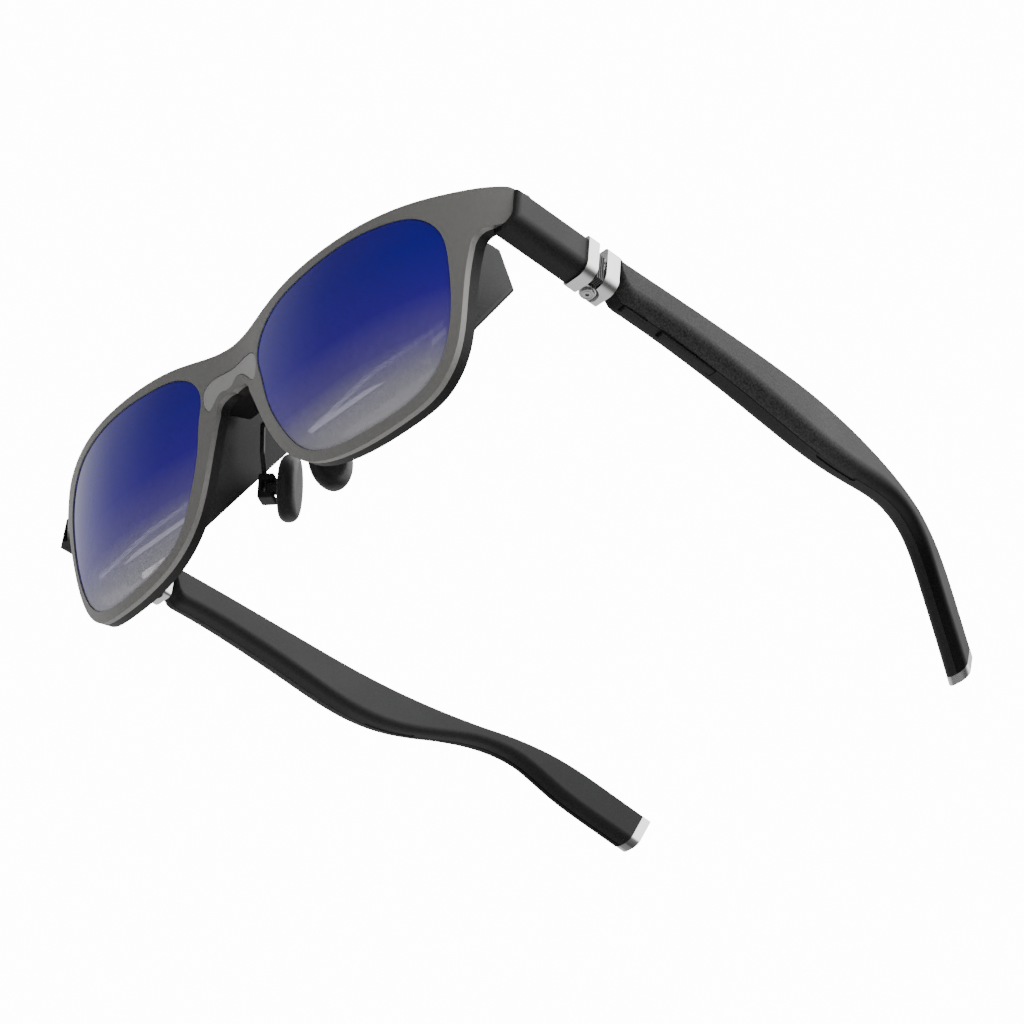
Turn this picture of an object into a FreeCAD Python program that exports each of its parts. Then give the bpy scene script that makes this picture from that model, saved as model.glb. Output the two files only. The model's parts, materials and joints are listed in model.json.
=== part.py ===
import FreeCAD, Part

import math
import os

from FreeCAD import Placement, Rotation, Vector

# Smart glasses with see-through displays. Every size is in millimetres.
# +X is the wearer's left, +Y points back along the temples, +Z is up.
# The glasses stand on the bottoms of the two rims and on the two temple tips.
#
# Three frames are used. The "wear" frame has level temples. The "front" frame leans
# forward from it by the tilt of the front. The part's own frame is the wear frame
# turned so that the rims and the tips share one floor.

SIZES = (
    ("stand_tilt", 7.24),
    ("stand_back", -81.069),
    ("stand_lift", 29.628),
    ("front_tilt", 14.5),
    # Plan curve of the front: a valley at the bridge, a flat arc, then a wrap.
    ("wrap_apex_side", 29.0),
    ("wrap_apex_front", -2.9),
    ("wrap_valley_radius", 40.0),
    ("wrap_flat_radius", 110.0),
    ("wrap_end_radius", 67.0),
    ("wrap_turn_side", 40.0),
    ("wrap_half_width", 84.0),
    ("wrap_bow_radius", 125.0),
    ("wrap_bow_angle", 34.0),
    ("bezel_depth", 1.2),
    ("frame_depth", 3.25),
    ("lens_set_back", 0.25),
    ("lens_clearance", 0.12),
    ("lens_seat", 1.6),
    ("window_clearance", 0.15),
    ("stub_inner", 69.2),
    ("stub_outer", 75.5),
    ("stub_bottom", 4.6),
    ("stub_top", 13.5),
    ("stub_start", 8.4),
    ("stub_end", 27.0),
    ("edge_round", 1.0),
    ("low_round", 2.8),
    ("stub_front_round", 1.3),
    ("ring_inner", 69.0),
    ("ring_outer", 76.0),
    ("ring_bottom", 4.2),
    ("ring_top", 13.9),
    ("front_ring_length", 2.8),
    ("hinge_gap", 2.2),
    ("rear_ring_length", 3.4),
    ("pin_side", 70.9),
    ("pin_back", 31.75),
    ("pin_radius", 0.7),
    ("pin_clearance", 0.05),
    ("knuckle_radius", 1.75),
    ("knuckle_relief", 2.3),
    ("web_inner", 0.8),
    ("leaf_height", 3.8),
    ("leaf_gap", 0.15),
    ("nose_side_top", 9.6),
    ("nose_side_bottom", 15.9),
    ("housing_outer", 58.0),
    ("housing_wall", 1.3),
    ("housing_corner", 2.6),
    ("eye_window_width", 31.0),
    ("eye_window_height", 22.0),
    ("eye_window_depth", 1.0),
    ("optic_width", 34.0),
    ("optic_middle", 37.0),
    ("splitter_depth", 0.9),
    ("splitter_length", 25.0),
    ("mirror_radius", 62.0),
    ("mirror_depth", 1.4),
    ("mirror_height", 24.0),
    ("display_width", 17.0),
    ("display_length", 9.0),
    ("display_height", 2.2),
    ("focus_width", 19.0),
    ("focus_length", 11.0),
    ("focus_height", 2.0),
    ("focus_side", 40.5),
    ("dial_radius", 4.6),
    ("dial_height", 1.5),
    ("dial_shaft", 0.8),
    ("dial_side", 27.2),
    ("temple_wall", 1.2),
    ("temple_split", 0.55),
    ("temple_front", 35.4),
    ("cavity_front", 38.5),
    ("cavity_back", 118.0),
    ("cap_length", 2.1),
    ("key_side", 72.2),
    ("key_front", 39.8),
    ("key_length", 6.2),
    ("rocker_front", 50.2),
    ("rocker_length", 15.2),
    ("button_width", 1.8),
    ("button_height", 2.6),
    ("button_clearance", 0.15),
    ("button_proud", 0.35),
    ("slot_front", 96.0),
    ("slot_length", 14.0),
    ("port_width", 2.5),
    ("port_height", 6.8),
    ("wire_radius", 0.55),
    ("pad_side", 7.1),
    ("pad_back", 21.0),
    ("pad_up", -7.7),
    ("pad_thickness", 4.2),
    ("pad_rear", 1.5),
    ("pad_width", 9.2),
    ("pad_height", 15.4),
    ("pad_round", 1.95),
)

doc = FreeCAD.newDocument("smart_glasses")
sheet = doc.addObject("Spreadsheet::Sheet", "sizes")
for row, (alias, value) in enumerate(SIZES, start=1):
    sheet.set(f"A{row}", alias)
    sheet.set(f"B{row}", str(value))
    sheet.setAlias(f"B{row}", alias)
doc.recompute()


def size(alias):
    return float(getattr(sheet, alias))


X_AXIS = Vector(1, 0, 0)
Y_AXIS = Vector(0, 1, 0)
Z_AXIS = Vector(0, 0, 1)
ORIGIN = Vector(0, 0, 0)
FAR = 200.0
TOUCH = 1e-4

STAND = Placement(
    Vector(0, size("stand_back"), size("stand_lift")), Rotation(X_AXIS, -size("stand_tilt"))
)
TILT = Placement(ORIGIN, Rotation(X_AXIS, size("front_tilt")))
WEAR = STAND
FRONT = STAND.multiply(TILT)
FRONT_TO_WEAR = TILT.inverse()

SUBPARTS = []


# ---------------------------------------------------------------- helpers


def bind(thing, **cells):
    for name, expression in cells.items():
        thing.setExpression(name, expression)
    return thing


def box(name, length, width, height, corner, turn=None):
    thing = doc.addObject("Part::Box", name)
    bind(thing, Length=length, Width=width, Height=height)
    thing.Placement = Placement(corner, turn or Rotation())
    return thing


def cylinder(name, radius, height, base, direction=Z_AXIS):
    thing = doc.addObject("Part::Cylinder", name)
    bind(thing, Radius=radius, Height=height)
    thing.Placement = Placement(base, Rotation(Z_AXIS, direction))
    return thing


def cut(name, base, *tools):
    for index, tool in enumerate(tools):
        step = doc.addObject("Part::Cut", f"{name}_cut{index}")
        step.Base = base
        step.Tool = tool
        base = step
    return base


def fuse(name, *shapes):
    thing = doc.addObject("Part::MultiFuse", name)
    thing.Shapes = list(shapes)
    return thing


def common(name, base, tool):
    thing = doc.addObject("Part::Common", name)
    thing.Base = base
    thing.Tool = tool
    return thing


def sketch(name, curves, turn=None, offset=ORIGIN):
    thing = doc.addObject("Sketcher::SketchObject", name)
    thing.Placement = Placement(offset, turn or Rotation())
    thing.addGeometry(curves, False)
    return thing


def extrude(name, profile, ahead, behind=0.0, direction=None):
    thing = doc.addObject("Part::Extrusion", name)
    thing.Base = profile
    if direction is None:
        thing.DirMode = "Normal"
    else:
        thing.DirMode = "Custom"
        thing.Dir = direction
    thing.LengthFwd = ahead
    thing.LengthRev = behind
    thing.Solid = True
    return thing


def spline(points, closed=False):
    curve = Part.BSplineCurve()
    curve.interpolate([Vector(u, v, 0) for u, v in points], PeriodicFlag=closed)
    return curve


def chain(points):
    corners = [Vector(u, v, 0) for u, v in points]
    return [Part.LineSegment(a, b) for a, b in zip(corners, corners[1:])]


def loop(points):
    return chain(points + points[:1])


# Sketch plane turns: local (u, v) becomes (x, z) for a view from the front,
# and (y, z) for a view from the side.
FACE_ON = Rotation(X_AXIS, 90)
SIDE_ON = Rotation(Vector(1, 1, 1), 120)


def subpart(thing, label, frame):
    thing.Label = label
    thing.Placement = frame.multiply(thing.Placement)
    SUBPARTS.append(thing)
    return thing


def other_side(thing, label):
    twin = doc.addObject("Part::Mirroring", label)
    twin.Source = thing
    twin.Normal = X_AXIS
    twin.Base = ORIGIN
    twin.Label = label
    SUBPARTS.append(twin)
    return twin


def right_only(thing, label):
    """A sub-part of the right side, drawn on the left in the wear frame."""
    thing.Placement = WEAR.multiply(thing.Placement)
    return other_side(thing, label)


def both_sides(thing, stem, frame):
    left = subpart(thing, f"{stem}_left", frame)
    return left, other_side(left, f"{stem}_right")


# ---------------------------------------------------------------- the curved front


def wrap_arcs(set_back):
    """Plan curve of the front, moved back by set_back, as five tangent arcs."""
    flat = size("wrap_flat_radius")
    valley = size("wrap_valley_radius")
    end = size("wrap_end_radius")
    side = size("wrap_apex_side")
    flat_centre = Vector(side, size("wrap_apex_front") + flat, 0)
    turn_in = math.asin(side / (flat + valley))
    turn_out = math.asin((size("wrap_turn_side") - side) / flat)
    outward = Vector(math.sin(turn_out), -math.cos(turn_out), 0)
    end_centre = flat_centre + outward * (flat - end)
    valley_centre = Vector(0, flat_centre.y - (flat + valley) * math.cos(turn_in), 0)
    last = math.asin((size("wrap_half_width") - end_centre.x) / (end - set_back))

    def arc(centre, radius, first, final):
        circle = Part.Circle(centre, Z_AXIS, radius)
        return Part.ArcOfCircle(circle, first, final)

    down = -math.pi / 2
    arcs = [
        arc(valley_centre, valley + set_back, math.pi / 2 - turn_in, math.pi / 2 + turn_in),
        arc(flat_centre, flat - set_back, down - turn_in, down + turn_out),
        arc(end_centre, end - set_back, down + turn_out, down + last),
    ]
    for centre, radius, first, final in (
        (flat_centre, flat - set_back, down - turn_out, down + turn_in),
        (end_centre, end - set_back, down - last, down - turn_out),
    ):
        arcs.append(arc(Vector(-centre.x, centre.y, 0), radius, first, final))
    tip = end_centre + Vector(math.sin(last), -math.cos(last), 0) * (end - set_back)
    return arcs, tip


def front_slab(name, near, far):
    """The space between two set-backs of the curved front, bowed from top to bottom."""
    front_arcs, front_tip = wrap_arcs(near)
    back_arcs, back_tip = wrap_arcs(far)
    sides = [
        Part.LineSegment(Vector(k * front_tip.x, front_tip.y, 0), Vector(k * back_tip.x, back_tip.y, 0))
        for k in (1, -1)
    ]
    profile = sketch(f"{name}_plan", front_arcs + back_arcs + sides)
    slab = doc.addObject("Part::Revolution", name)
    slab.Source = profile
    slab.Axis = X_AXIS
    slab.Base = Vector(0, size("wrap_bow_radius"), 0)
    slab.Symmetric = True
    slab.Solid = True
    bind(slab, Angle="sizes.wrap_bow_angle")
    return slab


LENS_OUTLINE = [
    (9.7, 0.8), (11.0, 8.2), (16.5, 12.0), (24.0, 13.5), (36.0, 14.3), (49.5, 13.3),
    (56.2, 11.2), (60.8, 5.9), (61.8, -2.0), (59.7, -15.6), (55.6, -22.7), (49.0, -26.5),
    (38.0, -27.7), (27.0, -26.5), (20.5, -23.4), (15.0, -16.3), (11.3, -7.4),
]
LENS_CENTRE = (36.0, -6.5)
BROW = [(0.0, 12.2), (8.0, 13.2), (17.0, 15.1), (30.0, 16.3), (45.0, 16.3), (56.0, 15.5),
        (64.0, 14.4), (69.0, 13.6), (72.0, 12.8), (73.6, 12.0), (74.2, 10.6)]
CHEEK = [(74.3, 6.2), (73.8, 4.5), (72.2, 3.8), (69.8, 3.9), (67.9, 3.5), (66.6, 2.2), (65.8, 0.0),
         (65.0, -3.0), (62.8, -12.3), (59.4, -21.3), (53.6, -27.1), (46.0, -29.4), (38.5, -30.0),
         (30.0, -29.3), (23.0, -27.3), (15.5, -22.0), (10.6, -14.4), (7.7, -7.4), (5.4, -1.6)]
NOSE = [(5.4, -1.6), (4.6, 0.2), (3.4, 0.9), (0.0, 0.9)]


def lens_outline(grow):
    """The lens outline, moved outwards by about grow."""
    middle_side, middle_up = LENS_CENTRE
    points = []
    for side, up in LENS_OUTLINE:
        reach = math.hypot(side - middle_side, up - middle_up)
        scale = 1 + grow / reach
        points.append((middle_side + (side - middle_side) * scale, middle_up + (up - middle_up) * scale))
    return points


def lens_prism(name, grow):
    profile = sketch(f"{name}_outline", [spline(lens_outline(grow), closed=True)], FACE_ON)
    return extrude(name, profile, FAR, FAR)


def mirrored(name, thing):
    twin = doc.addObject("Part::Mirroring", name)
    twin.Source = thing
    twin.Normal = X_AXIS
    twin.Base = ORIGIN
    return twin


def front_outline():
    curves = []
    for k in (1, -1):
        for points in (BROW, CHEEK, NOSE):
            curves.append(spline([(k * side, up) for side, up in points]))
        curves += chain([(k * side, up) for side, up in (BROW[-1], CHEEK[0])])
    return curves


outline_sketch = sketch("front_outline", front_outline(), FACE_ON)
outline_prism = extrude("front_outline_prism", outline_sketch, FAR, FAR)
lens_hole_left = lens_prism("lens_hole_left", 0)
lens_hole_right = mirrored("lens_hole_right", lens_hole_left)
seat_hole_left = lens_prism("seat_hole_left", -size("lens_seat"))
seat_hole_right = mirrored("seat_hole_right", seat_hole_left)

WINDOW = [
    (0.0, 3.1), (4.2, 2.6), (7.4, -0.1), (8.8, 2.6), (7.4, 6.3), (4.6, 7.0), (0.0, 6.6),
    (-4.6, 7.0), (-7.4, 6.3), (-8.8, 2.6), (-7.4, -0.1), (-4.2, 2.6),
]


def drawn_in(ring, clearance):
    """A ring of points that runs anticlockwise, each moved inwards by a clearance."""
    moved = []
    for before, here, after in zip(ring[-1:] + ring[:-1], ring, ring[1:] + ring[:1]):
        along = Vector(after[0] - before[0], after[1] - before[1], 0).normalize()
        moved.append((here[0] - along.y * clearance, here[1] + along.x * clearance))
    return moved


def window_prism(name, clearance):
    """The bridge window's outline, drawn in by a clearance all round, as a long prism."""
    profile = sketch(f"{name}_outline", [spline(drawn_in(WINDOW, clearance), closed=True)], FACE_ON)
    return extrude(name, profile, FAR, FAR)


window_hole = window_prism("window_hole", 0)

bezel = common("bezel_blank", outline_prism, front_slab("bezel_slab", 0.0, size("bezel_depth")))
bezel = cut("bezel", bezel, lens_hole_left, lens_hole_right, window_hole)
subpart(bezel, "front_bezel", FRONT)

window_body = window_prism("window_body", size("window_clearance"))
window = common("window", window_body, front_slab("window_slab", 0.1, 1.2))
subpart(window, "bridge_window", FRONT)

lens = common(
    "lens",
    lens_prism("lens_body", -size("lens_clearance")),
    front_slab("lens_slab", size("lens_set_back"), size("bezel_depth")),
)
both_sides(lens, "lens_cover", FRONT)


# ---------------------------------------------------------------- main frame


def rounded_bar(name, inner, outer, bottom, top, start, length, front_round=0.0):
    """A bar along +Y whose long edges are rounded, most of all the lower outer one."""
    bar = box(f"{name}_bar", outer + "-" + inner, length, top + "-" + bottom, ORIGIN)
    bar.setExpression("Placement.Base.x", inner)
    bar.setExpression("Placement.Base.y", start)
    bar.setExpression("Placement.Base.z", bottom)
    doc.recompute()
    rounded = doc.addObject("Part::Fillet", name)
    rounded.Base = bar
    edges = []
    reach = bar.Shape.BoundBox
    for number, edge in enumerate(bar.Shape.Edges, start=1):
        along = edge.Vertexes[1].Point - edge.Vertexes[0].Point
        middle_point = edge.CenterOfMass
        is_outer = abs(middle_point.x - reach.XMax) < TOUCH
        is_low = abs(middle_point.z - reach.ZMin) < TOUCH
        if abs(along.x) < TOUCH and abs(along.z) < TOUCH:
            radius = size("low_round") if is_outer and is_low else size("edge_round")
            edges.append((number, radius, radius))
        elif front_round and is_outer and abs(middle_point.y - reach.YMin) < TOUCH and not is_low:
            if abs(along.z) > TOUCH:
                edges.append((number, front_round, front_round))
    rounded.Edges = edges
    return rounded


def into_front(name, thing):
    """Carries a shape drawn in the wear frame into the front frame."""
    carried = doc.addObject("Part::Compound", name)
    carried.Links = [thing]
    carried.Placement = FRONT_TO_WEAR
    return carried


stub_left = rounded_bar(
    "stub_left", "sizes.stub_inner", "sizes.stub_outer", "sizes.stub_bottom", "sizes.stub_top",
    "sizes.stub_start", "sizes.stub_end - sizes.stub_start", size("stub_front_round"),
)
stub_pair = [into_front("stub_in_front", stub_left)]
stub_pair.append(mirrored("stub_right", stub_pair[0]))

FRAME_GAP = 0.05
frame_slab = front_slab("frame_slab", size("bezel_depth") + FRAME_GAP, size("frame_depth"))
rim = common("rim_blank", outline_prism, frame_slab)
rim = cut("rim", rim, seat_hole_left, seat_hole_right)
before_bezel = common(
    "before_bezel", outline_prism, front_slab("bezel_room", -FAR / 10, size("bezel_depth") + FRAME_GAP)
)
stubs = cut("stubs", fuse("stub_both", *stub_pair), before_bezel)
main_frame = fuse("frame_body", rim, stubs)
subpart(main_frame, "main_frame", FRONT)

# ---------------------------------------------------------------- optics, in the front frame

TOP_FRONT = (3.0, 14.9)
TOP_BACK = (23.3, 11.5)
APEX = (25.9, 2.5)
HEEL = (2.0, -23.6)
SLOPE = math.atan2(APEX[1] - HEEL[1], APEX[0] - HEEL[0])


def side_prism(name, profile, start, finish):
    """A prism across the glasses with the given (back, up) profile."""
    base = sketch(f"{name}_profile", loop(profile), SIDE_ON, Vector(start, 0, 0))
    return extrude(name, base, finish - start)


def slope_point(along, inward):
    """A point on the sloping eye-side face, measured up from its heel."""
    back = HEEL[0] + along * math.cos(SLOPE) - inward * math.sin(SLOPE)
    up = HEEL[1] + along * math.sin(SLOPE) + inward * math.cos(SLOPE)
    return back, up


def slope_slab(name, low, high, near, deep, width, middle):
    """A plate parallel to the eye-side face."""
    profile = [
        slope_point(low, near),
        slope_point(high, near),
        slope_point(high, deep),
        slope_point(low, deep),
    ]
    return side_prism(name, profile, middle - width / 2, middle + width / 2)


wall = size("housing_wall")
rim_space = front_slab("rim_space", -FAR / 10, size("frame_depth") + FRAME_GAP)
block = side_prism(
    "housing_block", [TOP_FRONT, TOP_BACK, APEX, HEEL], size("nose_side_top"), size("housing_outer")
)
doc.recompute()
rounded_block = doc.addObject("Part::Fillet", "housing_rounded")
rounded_block.Base = block
block_edges = []
for number, edge in enumerate(block.Shape.Edges, start=1):
    middle_point = edge.CenterOfMass
    on_side = abs(middle_point.x - size("housing_outer")) < 1e-3
    if on_side and middle_point.y > TOP_BACK[0] / 2 + 1:
        block_edges.append((number, size("housing_corner") / 2, size("housing_corner") / 2))
rounded_block.Edges = block_edges
cavity_profile = [
    (-5.0, 11.2), (TOP_FRONT[0], 11.2), (TOP_BACK[0] - wall, TOP_BACK[1] - 1.5),
    (APEX[0] - 1.6 * wall, APEX[1] + 0.2), (HEEL[0] - 1.8 * wall, HEEL[1] + 0.4), (-5.0, HEEL[1]),
]
cavity = side_prism(
    "housing_cavity", cavity_profile, size("nose_side_top") + wall, size("housing_outer") - wall
)


def nose_side(name, shift):
    """The space on the nose side of the housing's slanting inner wall."""
    top = (size("nose_side_top") + shift, 16.0)
    bottom = (size("nose_side_bottom") + shift, -24.0)
    base = sketch(f"{name}_outline", loop([(-5.0, 16.0), top, bottom, (-5.0, -24.0)]), FACE_ON)
    return extrude(name, base, FAR, FAR)


cavity = cut("housing_room", cavity, nose_side("nose_side_inner", wall))
window_low = 5.5
window_high = window_low + size("eye_window_height")
window_hole_eye = slope_slab(
    "eye_window_hole", window_low, window_high, -5, 5, size("eye_window_width"), size("optic_middle")
)
dial_up = 11.4
dial_back = 14.5
dial_well = cylinder(
    "dial_well", "sizes.dial_radius + 0.3", "20",
    Vector(size("dial_side"), dial_back, dial_up + 0.8),
)
shaft_well = cylinder(
    "shaft_well", "sizes.dial_shaft + sizes.pin_clearance", "20",
    Vector(size("dial_side"), dial_back, 0),
)
nose_side_outer = nose_side("nose_side_outer", 0.0)
housing = cut(
    "housing", rounded_block, nose_side_outer, rim_space, cavity, window_hole_eye, dial_well, shaft_well
)
both_sides(housing, "optics_housing", FRONT)

eye_window = slope_slab(
    "eye_window_body", window_low + 0.1, window_high - 0.1, 0.15, 0.15 + size("eye_window_depth"),
    size("eye_window_width") - 0.2, size("optic_middle"),
)
both_sides(eye_window, "eye_window", FRONT)

splitter = slope_slab(
    "splitter_body", 3.5, 3.5 + size("splitter_length"), 3.2, 3.2 + size("splitter_depth"),
    size("optic_width"), size("optic_middle"),
)
splitter = cut("splitter", splitter, front_slab("splitter_limit", -FAR / 10, 2.6))
both_sides(splitter, "beam_splitter", FRONT)

mirror_outer = doc.addObject("Part::Sphere", "mirror_outer")
mirror_inner = doc.addObject("Part::Sphere", "mirror_inner")
bind(mirror_outer, Radius="sizes.mirror_radius")
bind(mirror_inner, Radius="sizes.mirror_radius - sizes.mirror_depth")
MIRROR_CENTRE = Vector(size("optic_middle"), size("mirror_radius") + 0.6, -5.0)
for ball in (mirror_outer, mirror_inner):
    ball.Placement = Placement(MIRROR_CENTRE, Rotation())
mirror_block = box(
    "mirror_block", "sizes.optic_width - 2", "16", "sizes.mirror_height",
    Vector(size("optic_middle") - size("optic_width") / 2 + 1, -2, -17.5),
)
mirror_shell = cut("mirror_shell", mirror_outer, mirror_inner)
mirror_cut = common("mirror_cut", mirror_block, mirror_shell)
# The mirror stops short of the splitter, which slopes down towards it.
mirror_trim = slope_slab("mirror_trim", -30, 60, -20, 4.4, 80, size("optic_middle"))
curved_mirror = cut("curved_mirror", mirror_cut, mirror_trim)
both_sides(curved_mirror, "curved_mirror", FRONT)

display_base = Vector(size("focus_side") - size("display_width") / 2, 10.5, 7.7)
display = box(
    "display", "sizes.display_width", "sizes.display_length", "sizes.display_height", display_base
)
both_sides(display, "display_module", FRONT)

# The focus lens and its carrier arm slide on the dial's threaded shaft.
focus_base = Vector(size("focus_side") - size("focus_width") / 2, 9.6, 4.4)
focus_block = box(
    "focus_block", "sizes.focus_width", "sizes.focus_length", "sizes.focus_height", focus_base
)
focus_arm = box(
    "focus_arm", "sizes.focus_side - sizes.dial_side - sizes.focus_width / 2 + 2.5", "4", "1.4",
    Vector(size("dial_side") - 2.2, dial_back - 2, 4.7),
)
focus_nut = cylinder(
    "focus_nut", "sizes.dial_shaft + sizes.pin_clearance", "6",
    Vector(size("dial_side"), dial_back, 3),
)
focus_lens = cut("focus_lens", fuse("focus_body", focus_block, focus_arm), focus_nut)
both_sides(focus_lens, "focus_lens", FRONT)

dial_disc = cylinder(
    "dial_disc", "sizes.dial_radius", "sizes.dial_height",
    Vector(size("dial_side"), dial_back, dial_up + 1.0),
)
dial_shaft = cylinder(
    "dial_shaft_body", "sizes.dial_shaft", "10",
    Vector(size("dial_side"), dial_back, dial_up - 8.4),
)
dial_mark = box(
    "dial_mark", "0.6", "3", "1", Vector(size("dial_side") - 0.3, dial_back + 1, dial_up + 2.2)
)
dial = cut("dial", fuse("dial_body", dial_disc, dial_shaft), dial_mark)
both_sides(dial, "diopter_dial", FRONT)

# ---------------------------------------------------------------- bridge, in the front frame

bridge_outer = side_prism("bridge_outer", [(2, 12.0), (11.5, 10.4), (12.0, 3.2), (2, 1.6)], -9.4, 9.4)
bridge_inner = side_prism("bridge_inner", [(0, 10.9), (10.4, 9.4), (10.8, 4.3), (0, 2.8)], -8.3, 8.3)
bridge_cover = cut("bridge_cover_body", bridge_outer, rim_space, bridge_inner)
subpart(bridge_cover, "bridge_cover", FRONT)

board = box("board", "16", "1", "4.4", Vector(-8, 8.6, 4.7))
subpart(board, "main_board", FRONT)
sensor = box("sensor", "4", "1.6", "2.4", Vector(-2, 6.7, 5.2))
subpart(sensor, "wear_sensor", FRONT)

# ---------------------------------------------------------------- hinge front, in the wear frame

PIN = Vector(size("pin_side"), size("pin_back"), 0)
ring_middle = (size("ring_bottom") + size("ring_top")) / 2
leaf_low = ring_middle - size("leaf_height") / 2
leaf_high = ring_middle + size("leaf_height") / 2
LEAF_GAP = size("leaf_gap")


def standing_cylinder(name, radius, low, high, side=PIN.x, back=PIN.y):
    return cylinder(name, radius, str(high - low), Vector(side, back, low))


def lug(name, low, high, start):
    """A hinge knuckle with the web that joins it to its ring."""
    knuckle = standing_cylinder(f"{name}_knuckle", "sizes.knuckle_radius", low, high)
    reach = abs(PIN.y - start)
    web = box(
        f"{name}_web", "sizes.knuckle_radius + sizes.web_inner", str(reach), str(high - low),
        Vector(PIN.x - size("web_inner"), min(PIN.y, start), low),
    )
    return fuse(name, knuckle, web)


front_ring = rounded_bar(
    "front_ring", "sizes.ring_inner", "sizes.ring_outer", "sizes.ring_bottom", "sizes.ring_top",
    "sizes.stub_end", "sizes.front_ring_length",
)
ring_face = size("stub_end") + size("front_ring_length")
lower_lug = lug("lower_lug", size("ring_bottom") + 0.4, leaf_low - LEAF_GAP, ring_face - 0.5)
upper_lug = lug("upper_lug", leaf_high + LEAF_GAP, size("ring_top") - 0.4, ring_face - 0.5)
cable_bore = cylinder(
    "cable_bore", "1.5", "40", Vector(73.9, 10, ring_middle), Y_AXIS
)
pin_bore = standing_cylinder("pin_bore", "sizes.pin_radius + sizes.pin_clearance", -20, 40)
leaf_room = standing_cylinder(
    "leaf_room", "sizes.knuckle_relief", leaf_low - LEAF_GAP, leaf_high + LEAF_GAP
)
hinge_front = cut(
    "hinge_front", fuse("hinge_front_body", front_ring, lower_lug, upper_lug), cable_bore, leaf_room,
    pin_bore,
)
both_sides(hinge_front, "hinge_front_ring", WEAR)

# A ribbed boot round the flex cable fills the outer part of the hinge's gap.
boot_parts = [box("boot_core", "1.6", "1.9", "5.6", Vector(73.6, ring_face + 0.05, 5.0))]
for index in range(4):
    rib = box(f"boot_rib{index}", "2.2", "0.28", "6.4", Vector(73.3, ring_face + 0.15 + 0.48 * index, 4.6))
    boot_parts.append(rib)
both_sides(fuse("boot", *boot_parts), "hinge_flex_boot", WEAR)

pin_shank = standing_cylinder(
    "pin_shank", "sizes.pin_radius", size("ring_bottom") + 0.1, size("ring_top") - 0.5
)
pin_head = standing_cylinder(
    "pin_head", "sizes.knuckle_radius - 0.25", size("ring_bottom") - 0.15, size("ring_bottom") + 0.4
)
both_sides(fuse("pin", pin_shank, pin_head), "hinge_pin", WEAR)

# ---------------------------------------------------------------- temples, in the wear frame

OUTER_PLAN = [(75.9, 35.0), (76.6, 56.0), (76.9, 75.0), (76.4, 92.0), (74.2, 109.0), (70.9, 124.0),
              (65.9, 139.0), (59.6, 154.0), (52.6, 170.0)]
INNER_PLAN = [(69.2, 35.0), (69.1, 56.0), (69.3, 75.0), (69.2, 92.0), (67.6, 109.0), (64.6, 124.0),
              (60.0, 139.0), (53.7, 154.0), (46.2, 170.0)]
TOP_SIDE = [(35.0, 13.3), (128.0, 13.3), (136.0, 13.0), (145.0, 11.0), (156.0, 5.7), (170.0, -1.9)]
BOTTOM_SIDE = [(35.0, 5.0), (60.0, 5.2), (75.0, 3.9), (91.0, 2.4), (103.0, 3.3), (115.0, 6.5),
               (128.0, 9.2), (136.0, 7.8), (146.0, 1.4), (156.0, -4.4), (170.0, -12.0)]
TIP_LOW = Vector(0, 164.3, -9.3)
TIP_TURN = 20.0
TIP_SLOPE = 28.0


def plan_curve(share):
    """The plan curve at a share of the way from the inner to the outer face."""
    return [
        (inner[0] + share * (outer[0] - inner[0]), inner[1]) for inner, outer in zip(INNER_PLAN, OUTER_PLAN)
    ]


def plan_strip(name, low, high):
    inside = plan_curve(low)
    outside = plan_curve(high)
    curves = [spline(inside), spline(outside)]
    curves += chain([inside[0], outside[0]])
    curves += chain([inside[-1], outside[-1]])
    base = sketch(f"{name}_plan", curves, None, Vector(0, 0, -40))
    return extrude(name, base, 90)


def side_strip(name, inset):
    top = [(back, up - inset) for back, up in TOP_SIDE]
    bottom = [(back, up + inset) for back, up in BOTTOM_SIDE]
    top_curve = [Part.LineSegment(Vector(*top[0], 0), Vector(*top[1], 0)), spline(top[1:])]
    curves = top_curve + [spline(bottom)] + chain([top[0], bottom[0]]) + chain([top[-1], bottom[-1]])
    base = sketch(f"{name}_side", curves, SIDE_ON, Vector(30, 0, 0))
    return extrude(name, base, 60)


def temple_slice(name, low, high, inset, front, back):
    """The part of the temple between two plan shares, inset from its top and bottom."""
    body = common(f"{name}_form", plan_strip(f"{name}_strip", low, high), side_strip(f"{name}_face", inset))
    span = box(f"{name}_span", "80", str(back - front), "80", Vector(20, front, -35))
    return common(name, body, span)


def past_tip(name, ahead):
    """The space behind the plane of the temple's end, moved ahead of it by a length."""
    turn = Rotation(X_AXIS, -TIP_TURN)
    corner = Vector(20, TIP_LOW.y, TIP_LOW.z) + turn.multVec(Vector(0, -ahead, -30))
    return box(name, "80", "60", "80", corner, turn)


SPLIT = size("temple_split")
front_end = size("temple_front")
tail = 170.0
beyond_tip = past_tip("beyond_tip", 0.0)
cap_room = past_tip("cap_room", size("cap_length"))

outer_blank = temple_slice("outer_blank", SPLIT + 0.005, 1.0, 0, front_end, tail)
inner_blank = temple_slice("inner_blank", 0.0, SPLIT - 0.005, 0, front_end, tail)
hollow = temple_slice(
    "hollow", 0.2, 0.82, size("temple_wall"), size("cavity_front"), size("cavity_back")
)
tip_slot = temple_slice("tip_slot", 0.44, 0.66, 1.3, 96.0, 158.0)
hollow = fuse("hollow_all", hollow, tip_slot)

slot_back = size("slot_front") + size("slot_length")
slot_cut = temple_slice("slot_cut", 0.42, 0.6, -1.0, size("slot_front"), slot_back)
slot_under = box("slot_under", "80", "80", "14", Vector(20, 80, -8.0))
slot_cut = common("slot_opening", slot_cut, slot_under)


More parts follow.
